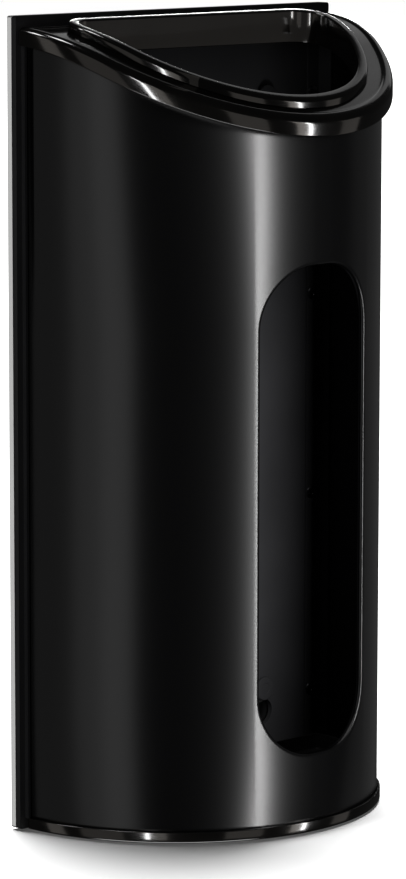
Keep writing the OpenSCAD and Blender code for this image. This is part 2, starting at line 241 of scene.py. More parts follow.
def socket_screw(head, shank, long, head_t, countersunk):
    """A screw that stands head down on Z = 0, with a six-sided socket in its head."""
    socket, deep, edge = head * 0.42, head_t * 0.7, 0.12 * MM
    profile = [(0, deep), (socket, deep), (socket, edge / 2), (socket + edge / 2, 0)]
    if countersunk:
        profile += [(head - edge, 0), (head, edge), (shank, head - shank)]
    else:
        profile += [(head * 0.8, 0), (head * 0.95, head_t * 0.25), (head, head_t * 0.6), (head, head_t)]
        profile += [(shank, head_t)]
    pitch = shank * 0.5
    height = max(head_t, head - shank) + pitch
    while height + pitch < long:
        profile += [(shank * 0.86, height), (shank, height + pitch / 2)]
        height += pitch
    profile += [(shank * 0.8, long - pitch / 2), (shank * 0.3, long), (0, long)]
    bm = turn(profile, 24)
    for vert in bm.verts:
        reach = sqrt(vert.co.x**2 + vert.co.y**2)
        if abs(reach - socket) < WELD:
            angle = atan2(vert.co.y, vert.co.x) % radians(60) - radians(30)
            vert.co.x *= cos(radians(30)) / cos(angle)
            vert.co.y *= cos(radians(30)) / cos(angle)
    return bm


def stamp(single, places):
    """One bmesh that holds a copy of a piece at each place."""
    mesh = bpy.data.meshes.new("single")
    single.to_mesh(mesh)
    single.free()
    bm = bmesh.new()
    for place in places:
        before = len(bm.verts)
        bm.from_mesh(mesh)
        bm.verts.ensure_lookup_table()
        bmesh.ops.transform(bm, matrix=place, verts=bm.verts[before:])
    bpy.data.meshes.remove(mesh)
    return bm


def merge(bm, other):
    """Moves one bmesh into another."""
    mesh = bpy.data.meshes.new("moved")
    other.to_mesh(mesh)
    other.free()
    bm.from_mesh(mesh)
    bpy.data.meshes.remove(mesh)


def solids(node):
    """The (lowest, highest) corners of each solid of a node, in order of height and side."""
    bm = bmesh.new()
    bm.from_mesh(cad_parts[node].data)
    bmesh.ops.remove_doubles(bm, verts=bm.verts, dist=WELD)
    left = set(bm.verts)
    boxes = []
    while left:
        group, edge_of = set(), [left.pop()]
        while edge_of:
            vert = edge_of.pop()
            group.add(vert)
            for edge in vert.link_edges:
                other = edge.other_vert(vert)
                if other in left:
                    left.remove(other)
                    edge_of.append(other)
        low = Vector([min(vert.co[axis] for vert in group) for axis in range(3)])
        high = Vector([max(vert.co[axis] for vert in group) for axis in range(3)])
        boxes.append((low, high))
    bm.free()
    return sorted(boxes, key=lambda box: (round(box[0].z, 4), round(box[0].x, 4)))


def on_wall(boxes):
    """Places for pieces that were turned round Z, so that their tops point out of the wall."""
    out = Matrix.Rotation(radians(90), 4, "X")
    return [Matrix.Translation(((a.x + b.x) / 2, b.y, (a.z + b.z) / 2)) @ out for a, b in boxes]


def head_down(boxes):
    """Places for screws that point up."""
    return [Matrix.Translation(((a.x + b.x) / 2, (a.y + b.y) / 2, a.z)) for a, b in boxes]


def softened(node, rounding, segments=3):
    """A copy of a frame node with each sharp edge rounded by rounding(middle of the edge)."""
    bm = bmesh.new()
    bm.from_mesh(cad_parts[node].data)
    bmesh.ops.remove_doubles(bm, verts=bm.verts, dist=WELD)
    bmesh.ops.dissolve_limit(bm, angle_limit=radians(0.5), verts=bm.verts, edges=bm.edges)
    sharp = [edge for edge in bm.edges if edge.is_manifold and edge.calc_face_angle() > radians(30)]
    widths = {}
    for edge in sharp:
        middle = (edge.verts[0].co + edge.verts[1].co) / 2
        widths.setdefault(rounding(middle), []).append(edge)
    for width in sorted(widths, reverse=True):
        edges = [edge for edge in widths[width] if edge.is_valid]
        bmesh.ops.bevel(
            bm, geom=edges, offset=width, segments=segments, profile=0.5, affect="EDGES", material=-1,
            clamp_overlap=True,
        )
    return bm


def finish(bm, name, body, nodes, material, sharp=35, flat=False):
    """Makes the piece's object, with its finish, and hands it to the frame."""
    mesh = bpy.data.meshes.new(name)
    bm.to_mesh(mesh)
    bm.free()
    mesh.shade_smooth()
    mesh.set_sharp_from_angle(angle=radians(sharp))
    piece = bpy.data.objects.new(name, mesh)
    bpy.context.scene.collection.objects.link(piece)
    piece.data.materials.append(material)
    if flat:
        weighted = piece.modifiers.new("flat faces", "WEIGHTED_NORMAL")
        weighted.keep_sharp = True
    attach(piece, body)
    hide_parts(*nodes)
    return piece


# ---------------------------------------------------------------- finishes


class Wire:
    """An output socket, on which sums and products become Math nodes."""

    def __init__(self, finish_, socket):
        self.finish = finish_
        self.socket = socket

    def _math(self, operation, first, second):
        return self.finish.node("ShaderNodeMath", {"operation": operation}, {0: first, 1: second})

    def __add__(self, other):
        return self._math("ADD", self, other)

    def __sub__(self, other):
        return self._math("SUBTRACT", self, other)

    def __rsub__(self, other):
        return self._math("SUBTRACT", other, self)

    def __mul__(self, other):
        return self._math("MULTIPLY", self, other)

    __radd__ = __add__
    __rmul__ = __mul__


class Finish:
    """A procedural material, built up from nodes round one surface shader."""

    def __init__(self, name):
        self.material = bpy.data.materials.new(name)
        self.material.use_nodes = True
        self.tree = self.material.node_tree
        self.tree.nodes.clear()
        self.place = self.node("ShaderNodeTexCoord", output="Object")

    def node(self, kind, settings=None, inputs=None, output=0):
        """Adds a node: its settings first, then the values or wires of its sockets."""
        made = self.tree.nodes.new(kind)
        for key, value in (settings or {}).items():
            if key == "stops":
                for element, (position, shade) in zip(made.color_ramp.elements, value):
                    element.position = position
                    element.color = (shade, shade, shade, 1)
            else:
                setattr(made, key, value)
        for key, value in (inputs or {}).items():
            if isinstance(value, Wire):
                self.tree.links.new(value.socket, made.inputs[key])
            else:
                made.inputs[key].default_value = value
        return Wire(self, made.outputs[output]) if made.outputs else None

    def noise(self, scale, detail=2.0, stretch=(1, 1, 1), rough=0.5):
        """Noise over the object, with shorter grains along an axis that is stretched above 1."""
        place = self.place
        if stretch != (1, 1, 1):
            place = self.node("ShaderNodeMapping", None, {"Vector": place, "Scale": stretch})
        inputs = {"Vector": place, "Scale": scale, "Detail": detail, "Roughness": rough}
        return self.node("ShaderNodeTexNoise", None, inputs)

    def ramp(self, value, low, high):
        """0 below low and 1 above high."""
        settings = {"stops": [(low, 0.0), (high, 1.0)]}
        return self.node("ShaderNodeValToRGB", settings, {"Fac": value})

    def blend(self, share, first, second):
        """A colour that goes from first to second."""
        # Sockets by number, because a Mix node uses their names more than once
        inputs = {0: share, 6: (*first, 1), 7: (*second, 1)}
        return self.node("ShaderNodeMix", {"data_type": "RGBA"}, inputs, output=2)

    def bump(self, height, strength, distance):
        inputs = {"Height": height, "Strength": strength, "Distance": distance}
        return self.node("ShaderNodeBump", None, inputs)

    def surface(self, inputs):
        shader = self.node("ShaderNodeBsdfPrincipled", None, inputs)
        self.node("ShaderNodeOutputMaterial", None, {"Surface": shader})
        return self.material


def darker(colour_, share):
    return tuple(channel * share for channel in colour_)


def gloss_moulding(name, base):
    """Black high-gloss moulding: a deep clear skin with faint wiping marks and a slow ripple."""
    skin = Finish(name)
    wiped = skin.ramp(skin.noise(38, 3), 0.42, 0.72)
    hairs = skin.ramp(skin.noise(260, 2, (1, 1, 7)), 0.60, 0.78)
    ripple = skin.noise(14, 1)
    return skin.surface(
        {
            "Base Color": skin.blend(wiped, base, darker(base, 1.6)),
            "Roughness": wiped * 0.025 + hairs * 0.03 + 0.11,
            "IOR": 1.52,
            "Coat Weight": 0.25,
            "Coat Roughness": 0.07,
            "Normal": skin.bump(ripple, 0.06, 0.6 * MM),
        }
    )


def satin_paint(name, base, roughness):
    """Satin black paint on smooth sheet: a fine even spray texture and slightly uneven sheen."""
    skin = Finish(name)
    sheen = skin.noise(9, 2, (1, 1, 0.3))
    spray = skin.noise(1500, 2)
    return skin.surface(
        {
            "Base Color": skin.blend(sheen, darker(base, 0.85), darker(base, 1.25)),
            "Roughness": sheen * 0.012 + spray * 0.01 + (roughness - 0.011),
            "IOR": 1.5,
            "Normal": skin.bump(spray, 0.02, 0.03 * MM),
        }
    )


def powder_coat(name, base, roughness):
    """Powder coat with a fine orange-peel skin."""
    skin = Finish(name)
    peel = skin.noise(700, 3, rough=0.6)
    cloud = skin.noise(22, 3)
    return skin.surface(
        {
            "Base Color": skin.blend(cloud, darker(base, 0.8), darker(base, 1.4)),
            "Roughness": peel * 0.08 + (roughness - 0.04),
            "IOR": 1.5,
            "Normal": skin.bump(peel, 0.12, 0.08 * MM),
        }
    )


def brushed_metal(name, base, roughness, stretch, scale=90):
    """Bare metal with brushing lines, longest along the axis with the smallest stretch."""
    skin = Finish(name)
    lines = skin.noise(scale, 4, stretch, 0.65)
    stain = skin.noise(18, 3)
    return skin.surface(
        {
            "Base Color": skin.blend(lines * 0.6 + stain * 0.4, darker(base, 0.84), darker(base, 1.06)),
            "Metallic": 1.0,
            "Roughness": lines * 0.14 + stain * 0.06 + (roughness - 0.1),
            "Normal": skin.bump(lines, 0.12, 0.03 * MM),
        }
    )


def black_nylon(name, base):
    """Black nylon with a dull, lightly pitted skin."""
    skin = Finish(name)
    pits = skin.noise(900, 3)
    return skin.surface(
        {
            "Base Color": skin.blend(pits, darker(base, 0.9), base),
            "Roughness": pits * 0.15 + 0.45,
            "Normal": skin.bump(pits, 0.1, 0.05 * MM),
        }
    )


def heat_paint(name, base):
    """Matt heat-proof paint with a thin film of ash in its hollows."""
    skin = Finish(name)
    ash = skin.ramp(skin.noise(70, 5, rough=0.7), 0.48, 0.75)
    grain = skin.noise(1100, 3)
    return skin.surface(
        {
            "Base Color": skin.blend(ash * 0.35, base, (0.16, 0.155, 0.15)),
            "Roughness": ash * 0.15 + grain * 0.08 + 0.55,
            "Normal": skin.bump(grain, 0.2, 0.06 * MM),
        }
    )


# ---------------------------------------------------------------- pieces


class ASHBIN_OT_wall_plate(bpy.types.Operator):
    """Metal plate that is screwed to the wall"""

    bl_idname = "ashbin.wall_plate"
    bl_label = "Wall plate"

    def execute(self, context):
        size, looks = context.scene.ash_bin_sizes, context.scene.ash_bin_looks
        bm = softened("wall_plate", lambda middle: size.plate_round, segments=2)
        metal = brushed_metal("plate metal", looks.plate, 0.42, (1, 1, 0.05), 240)
        finish(bm, "wall_plate_metal", "wall_mount", ["wall_plate"], metal, flat=True)
        return {"FINISHED"}


class ASHBIN_OT_studs(bpy.types.Operator):
    """Shouldered studs that carry the bin, and their nylon washers"""

    bl_idname = "ashbin.studs"
    bl_label = "Hanging studs and washers"

    def execute(self, context):
        looks = context.scene.ash_bin_looks
        studs = solids("hanging_studs")
        low, high = studs[0]
        head, long = (high.x - low.x) / 2, high.y - low.y
        shank, root, head_t, plate_t = head / 2, head / 2 - 0.5 * MM, 1.8 * MM, -wall_box[0].y
        edge, dish = 0.4 * MM, 0.25 * MM
        profile = [(0, 0.1 * MM), (root - edge, 0), (root, edge), (root, plate_t), (shank, plate_t)]
        profile += [(shank, long - head_t), (head - edge, long - head_t), (head, long - head_t + edge)]
        profile += [(head, long - edge), (head - edge, long), (head * 0.5, long)]
        profile += [(head * 0.45, long - dish), (0, long - dish)]
        black = powder_coat("stud black", looks.panel, 0.42)
        bm = stamp(turn(profile), on_wall(studs))
        finish(bm, "hanging_stud_set", "wall_mount", ["hanging_studs"], black, 25)

        washers = solids("stud_washers")
        low, high = washers[0]
        outer, thick, soft = (high.x - low.x) / 2, high.y - low.y, 0.08 * MM
        profile = [(shank, soft), (shank + soft, 0), (outer - soft, 0), (outer, soft)]
        profile += [(outer, thick - soft), (outer - soft, thick), (shank + soft, thick)]
        profile += [(shank, thick - soft), (shank, soft)]
        plastic = black_nylon("washer nylon", looks.nylon)
        bm = stamp(turn(profile, 40), on_wall(washers))
        finish(bm, "washer_set", "wall_mount", ["stud_washers"], plastic, 25)
        return {"FINISHED"}


class ASHBIN_OT_back_panel(bpy.types.Operator):
    """Black panel that hangs on the studs, with a full round along its outer edge"""

    bl_idname = "ashbin.back_panel"
    bl_label = "Back panel"

    def execute(self, context):
        size, looks = context.scene.ash_bin_sizes, context.scene.ash_bin_looks
        low, high = panel_box

        def rounding(middle):
            gap = min(middle.x - low.x, high.x - middle.x, middle.z - low.z, high.z - middle.z)
            return size.panel_round if gap < 0.1 * MM else 0.2 * MM

        bm = softened("back_panel", rounding, segments=5)
        paint = powder_coat("panel coat", looks.panel, 0.36)
        finish(bm, "back_panel_coated", "bin", ["back_panel"], paint, 50, flat=True)
        return {"FINISHED"}


class ASHBIN_OT_edge_channels(bpy.types.Operator):
    """Folded channels at the shell's upright edges, with their blind rivets"""

    bl_idname = "ashbin.edge_channels"
    bl_label = "Edge channels and rivets"

    def execute(self, context):
        looks = context.scene.ash_bin_looks
        paint = powder_coat("channel coat", looks.panel, 0.33)
        zinc = brushed_metal("rivet zinc", looks.zinc, 0.34, (1, 1, 1), 260)
        for side in ("left", "right"):
            channel = side + "_channel"
            bm = softened(channel, lambda middle: 0.18 * MM, segments=2)
            finish(bm, channel + "_folded", "bin", [channel], paint, 50, flat=True)
            rivets = channel + "_rivets"
            boxes = solids(rivets)
            low, high = boxes[0]
            head, long, head_t, pin = (high.x - low.x) / 2, high.y - low.y, 1.0 * MM, 0.55 * MM
            shank = head * 0.53
            dome = arc((0, 0), 1, 0, 62, 6)
            profile = [(0, 0), (shank, 0), (shank, long - head_t), (head, long - head_t)]
            profile += [(head * x, long - head_t + head_t * y * 1.1) for x, y in dome if y < 0.9]
            crown = profile[-1][1]
            profile += [(pin * 1.6, long), (pin * 1.3, crown - 0.2 * MM), (0, crown - 0.2 * MM)]
            bm = stamp(turn(profile, 28), on_wall(boxes))
            finish(bm, rivets + "_domed", "bin", [rivets], zinc, 30)
        return {"FINISHED"}


class ASHBIN_OT_shell(bpy.types.Operator):
    """Rolled sheet body, with a tall slot whose edge turns in"""

    bl_idname = "ashbin.shell"
    bl_label = "Shell"

    def execute(self, context):
        size, looks = context.scene.ash_bin_sizes, context.scene.ash_bin_looks
        bm = bmesh.new()
        low, high = self.slot_heights(size)
        roll = size.slot_roll
        rings = [(roll * (1 - sin(a)), roll * (1 - cos(a))) for a in quarter(8)]
        rings.append((0, size.slot_lip - 0.2 * MM))
        loops = [self.slot_loop(size, low, high, grow, depth) for grow, depth in rings]
        rows = loft(bm, loops)
        self.extend_sheet(bm, rows[0], size)
        bmesh.ops.recalc_face_normals(bm, faces=bm.faces)
        rear = max(bm.faces, key=lambda face: abs(face.calc_center_median().x))
        middle = rear.calc_center_median()
        if rear.normal.dot(Vector((middle.x, middle.y + CENTRE, 0))) < 0:
            bmesh.ops.reverse_faces(bm, faces=bm.faces)
        paint = satin_paint("shell paint", looks.shell, 0.25)
        piece = finish(bm, "shell_sheet", "bin", ["body_shell"], paint, 60)
        wall = piece.modifiers.new("sheet", "SOLIDIFY")
        wall.thickness = size.sheet
        wall.offset = -1
        wall.use_even_offset = True
        edge = piece.modifiers.new("broken edges", "BEVEL")
        edge.width = 0.2 * MM
        edge.segments = 2
        edge.limit_method = "ANGLE"
        edge.angle_limit = radians(60)
        return {"FINISHED"}

    def slot_heights(self, size):
        """Heights of the slot's lower and upper end."""
        front = rim_top(CENTRE + RIM_R)
        return BOTTOM + size.slot_bottom, front - size.rim_height - size.slot_top_gap

    def slot_loop(self, size, low, high, grow, depth):
        """The slot's outline, grown sideways and sunk into the shell."""
        corner = size.slot_corner + grow
        side = size.slot_width / 2 + grow - corner
        low, high = low - grow + corner, high + grow - corner
        flat = []
        for x, z, start in ((side, low, -90), (side, high, 0), (-side, high, 90), (-side, low, 180)):
            flat += arc((x, z), corner, start, start + 90, 18)
        radius = SHELL_R - depth
        return [(x, -CENTRE - sqrt(radius**2 - x**2), z) for x, z in flat]

    def extend_sheet(self, bm, ring, size):
        """Carries the sheet down to the base, up to the rim and round to the back panel."""
        verts = {vert for edge in ring for vert in edge.verts}
        widest = max(vert.co.x for vert in verts)
        middle = sum(vert.co.z for vert in verts) / len(verts)
        bottom = shell_box[0].z
        for upper in (False, True):
            edges = [e for e in ring if all((vert.co.z > middle) == upper for vert in e.verts)]
            made = bmesh.ops.extrude_edge_only(bm, edges=edges)["geom"]
            for vert in (item for item in made if isinstance(item, bmesh.types.BMVert)):
                vert.co.z = TOP if upper else bottom
        rear_u = -shell_box[1].y
        for side in (-1, 1):
            chain = [
                edge for edge in bm.edges
                if all(abs(vert.co.x - side * widest) < WELD for vert in edge.verts)
            ]
            start = asin(widest / SHELL_R)
            end = acos((rear_u - CENTRE) / SHELL_R)
            bmesh.ops.spin(
                bm, geom=chain + list({v for e in chain for v in e.verts}), cent=(0, -CENTRE, 0),
                axis=(0, 0, 1), angle=side * (end - start), steps=60,
            )
        bmesh.ops.remove_doubles(bm, verts=bm.verts, dist=WELD)
        notch = -rim_box[1].y + size.rim_wall + 2 * SHELL_TO_RIM
        for vert in bm.verts:
            if vert.co.z > TOP - WELD:
                drop = size.rim_height if -vert.co.y < notch else size.rim_wall
                vert.co.z = rim_top(-vert.co.y) - drop - SHELL_TO_RIM


class ASHBIN_OT_floor_pan(bpy.types.Operator):
    """Pressed steel floor with a turned-up edge"""

    bl_idname = "ashbin.floor_pan"
    bl_label = "Floor pan"

    def execute(self, context):
        size, looks = context.scene.ash_bin_sizes, context.scene.ash_bin_looks
        low, high = pan_box
        radius, rear = SHELL_R - size.sheet, -high.y
        bend, thick, corner = 2.2 * MM, 1 * MM, 3 * MM
        outside = [(0, high.z - low.z)]
        outside += [(bend * (1 - cos(a)), bend * (1 - sin(a))) for a in quarter(6)]
        inner_bend = bend - thick
        inside = [
            (thick + inner_bend * (1 - cos(a)), thick + inner_bend * (1 - sin(a))) for a in quarter(6)
        ]
        section = inside[::-1] + [(thick, high.z - low.z)] + outside
        bm = bmesh.new()
        loops = []
        for inward, height in section:
            plan = half_round(
                radius - inward, CENTRE, rear + inward, corner - inward, size.arc_steps
            )
            loops.append([(x, -u, low.z + height) for x, u in plan])
        rows = loft(bm, loops)
        for row in (rows[0], rows[-1]):
            bmesh.ops.contextual_create(bm, geom=row)
        bmesh.ops.recalc_face_normals(bm, faces=bm.faces)
        paint = heat_paint("pan paint", looks.pan)
        finish(bm, "floor_pan_pressed", "bin", ["floor_pan"], paint, 30)
        return {"FINISHED"}


class ASHBIN_OT_base_cap(bpy.types.Operator):
    """Glossy moulded cap under the shell, with its screw bosses"""

    bl_idname = "ashbin.base_cap"
    bl_label = "Base cap"

    def execute(self, context):
        size, looks = context.scene.ash_bin_sizes, context.scene.ash_bin_looks
        band, floor_t, corner, play = 5.4 * MM, 2 * MM, 2.4 * MM, 0.2 * MM
        low, high = cap_box
        rear = -high.y
        round_, lip = size.cap_round, 0.35 * MM
        groove = CAP_R - (SHELL_R + play)
        rib = groove + play + size.sheet + play
        rib_t, boss_top = 2 * MM, high.z - low.z
        section = [(round_ * (1 - sin(a)), round_ * (1 - cos(a))) for a in quarter(5)]
        section += [(lip * (1 - cos(a)), band - lip * (1 - sin(a))) for a in quarter(3)]
        section += [(groove - lip / 2, band), (groove, band - lip / 2), (groove, floor_t)]
        section += [(rib, floor_t), (rib, boss_top), (rib + rib_t, boss_top), (rib + rib_t, floor_t)]
        bm = bmesh.new()
        loops = []
        for inward, height in section:
            plan = half_round(
                CAP_R - inward, CENTRE, rear + inward, corner - inward, size.arc_steps
            )
            loops.append([(x, -u, low.z + height) for x, u in plan])
        rows = loft(bm, loops)
        under, over = list(rows[0]), list(rows[-1])
        for a, b in solids("base_screws"):
            spot = ((a.x + b.x) / 2, (a.y + b.y) / 2)
            sink, shaft, boss = (b.x - a.x) / 2 + play, 1.8 * MM, 5 * MM
            walls = [(sink, 0), (shaft, sink - shaft), (shaft, boss_top)]
            walls += [(boss, boss_top), (boss, floor_t)]
            rings = loft(bm, [circle(spot, radius, low.z + height) for radius, height in walls])
            under += rings[0]
            over += rings[-1]
        bmesh.ops.triangle_fill(bm, use_beauty=True, edges=under)
        bmesh.ops.triangle_fill(bm, use_beauty=True, edges=over)
        bmesh.ops.recalc_face_normals(bm, faces=bm.faces)
        gloss = gloss_moulding("base gloss", looks.gloss)
        finish(bm, "base_cap_moulding", "bin", ["base_cap"], gloss, 32)
        return {"FINISHED"}


class ASHBIN_OT_base_screws(bpy.types.Operator):
    """Countersunk screws that hold the cap"""

    bl_idname = "ashbin.base_screws"
    bl_label = "Base screws"

    def execute(self, context):
        looks = context.scene.ash_bin_looks
        boxes = solids("base_screws")
        low, high = boxes[0]
        single = socket_screw((high.x - low.x) / 2, 1.6 * MM, high.z - low.z, 1.6 * MM, True)
        zinc = brushed_metal("base screw zinc", looks.zinc, 0.3, (1, 1, 1), 300)
        bm = stamp(single, head_down(boxes))
        finish(bm, "base_screw_set", "bin", ["base_screws"], zinc, 30)
        return {"FINISHED"}


class ASHBIN_OT_top_rim(bpy.types.Operator):
    """Sloping glossy rim: rounded band, sunk ledge and the wall that centres it in the shell"""

    bl_idname = "ashbin.top_rim"
    bl_label = "Top rim"

    def execute(self, context):
        size, looks = context.scene.ash_bin_sizes, context.scene.ash_bin_looks
        bm = bmesh.new()
        loft(bm, [draped(plan, height) for plan, height in self.section(size)], closed=True)
        self.centring_wall(bm, size)
        bmesh.ops.recalc_face_normals(bm, faces=bm.faces)
        gloss = gloss_moulding("rim gloss", looks.gloss)
        finish(bm, "top_rim_moulding", "rim", ["top_rim"], gloss, 40)
        return {"FINISHED"}

    def section(self, size):
        """The moulding's plan outlines and their heights over the crown, once round its section."""
        wall, tall, crown, sink = size.rim_wall, size.rim_height, size.rim_crown, size.ledge_sink
        foot, shoulder = 0.6 * MM, 1.5 * MM
        band = [(wall, -tall)]
        band += [(foot * (1 - sin(a)), -tall + foot * (1 - cos(a))) for a in quarter(4)]
        band += [(crown * (1 - cos(a)), crown * (sin(a) - 1)) for a in quarter(10)]
        drop = [radians(90 * i / 6) for i in range(1, 7)]
        band += [(crown + shoulder * sin(a), (cos(a) - 1) * sink / 2) for a in drop]
        band += [(crown + shoulder * (2 - cos(a)), -sink / 2 - sink / 2 * sin(a)) for a in drop]
        rows = [(self.outer(size, inward), height) for inward, height in band]
        ledge, hole = rows[-1][0], mouth_plan(size, size.throat_wall + 0.1 * MM)
        rows += [(mixed(ledge, hole, share / 8), -sink) for share in range(1, 9)]
        inner, under = self.outer(size, crown + wall), -sink - wall
        rows += [(mixed(hole, inner, share / 8), under) for share in range(9)]
        bend = 1.2 * MM
        rows += [
            (self.outer(size, wall + bend * (1 - sin(a))), under - bend * (1 - cos(a)))
            for a in quarter(4)
        ]
        return rows

    def outer(self, size, inward):
        """The rim's outline, moved inwards."""
        rear = -rim_box[1].y
        corner = size.rim_corner - inward
        return half_round(RIM_R - inward, CENTRE, rear + inward, corner, size.arc_steps)

    def centring_wall(self, bm, size):
        """The inner wall, from side to side round the front, with its lower edge thinned."""
        outer = SHELL_R - size.sheet - 3 * SHELL_TO_RIM
        wall, thin, start_u = size.rim_wall, 0.5 * MM, 20 * MM
        top, deep = -size.ledge_sink - size.rim_wall / 2, -size.centring_depth
        section = [(outer, top), (outer, deep + 2 * thin), (outer - thin, deep)]
        section += [(outer - wall, deep), (outer - wall, top)]
        angle = acos((start_u - CENTRE) / outer)
        wall_bm = bmesh.new()
        verts = [wall_bm.verts.new((0, -CENTRE - radius, height)) for radius, height in section]
        turned = Matrix.Rotation(-angle, 3, "Z")
        bmesh.ops.rotate(wall_bm, verts=verts, cent=(0, -CENTRE, 0), matrix=turned)
        face = wall_bm.faces.new(verts)
        cent = (0, -CENTRE, 0)
        bmesh.ops.spin(wall_bm, geom=[face], cent=cent, axis=(0, 0, 1), angle=2 * angle, steps=96)
        for vert in wall_bm.verts:
            vert.co.z += rim_top(-vert.co.y)
        merge(bm, wall_bm)


class ASHBIN_OT_mouth_ring(bpy.types.Operator):
    """Raised lip and throat round the mouth"""

    bl_idname = "ashbin.mouth_ring"
    bl_label = "Mouth ring"

    def execute(self, context):
        size, looks = context.scene.ash_bin_sizes, context.scene.ash_bin_looks
        wide, tall, wall = size.lip_width, size.lip_height, size.throat_wall
        deep = tall - size.throat_depth
        foot = 0.05 * MM - size.ledge_sink
        shoulder, inner, lower = 1.9 * MM, 1.0 * MM, 0.5 * MM
        section = [(wall, deep), (wall, foot), (wide - 0.3 * MM, foot), (wide, foot + 0.3 * MM)]
        section += arc((wide - shoulder, tall - shoulder), shoulder, 0, 90, 8)
        section += arc((inner, tall - inner - 0.15 * MM), inner, 90, 180, 7)
        section += [(0, -2 * MM), (0, deep + lower), (lower / 2, deep + lower / 4), (lower, deep)]
        bm = bmesh.new()
        loft(bm, [draped(mouth_plan(size, grow), height) for grow, height in section], closed=True)
        bmesh.ops.recalc_face_normals(bm, faces=bm.faces)
        gloss = gloss_moulding("mouth gloss", looks.gloss)
        finish(bm, "mouth_ring_moulding", "rim", ["mouth_ring"], gloss, 40)
        return {"FINISHED"}


class ASHBIN_OT_mouth_screws(bpy.types.Operator):
    """Small screws that hold the mouth ring from below"""

    bl_idname = "ashbin.mouth_screws"
    bl_label = "Mouth screws"

    def execute(self, context):
        looks = context.scene.ash_bin_looks
        boxes = solids("mouth_screws")
        low, high = boxes[0]
        single = socket_screw((high.x - low.x) / 2, 0.9 * MM, high.z - low.z, 1.4 * MM, False)
        zinc = brushed_metal("mouth screw zinc", looks.zinc, 0.3, (1, 1, 1), 300)
        bm = stamp(single, head_down(boxes))
        finish(bm, "mouth_screw_set", "rim", ["mouth_screws"], zinc, 30)
        return {"FINISHED"}


class ASHBIN_OT_rim_clips(bpy.types.Operator):
    """Spring clips between the rim and the shell"""

    bl_idname = "ashbin.rim_clips"
    bl_label = "Rim clips"

    def execute(self, context):
        looks = context.scene.ash_bin_looks
        bm = softened("rim_clips", lambda middle: 0.08 * MM, segments=2)
        steel = brushed_metal("clip steel", looks.spring, 0.3, (1, 1, 0.2), 400)
        finish(bm, "rim_clip_set", "rim", ["rim_clips"], steel, flat=True)
        return {"FINISHED"}


# ---------------------------------------------------------------- stage


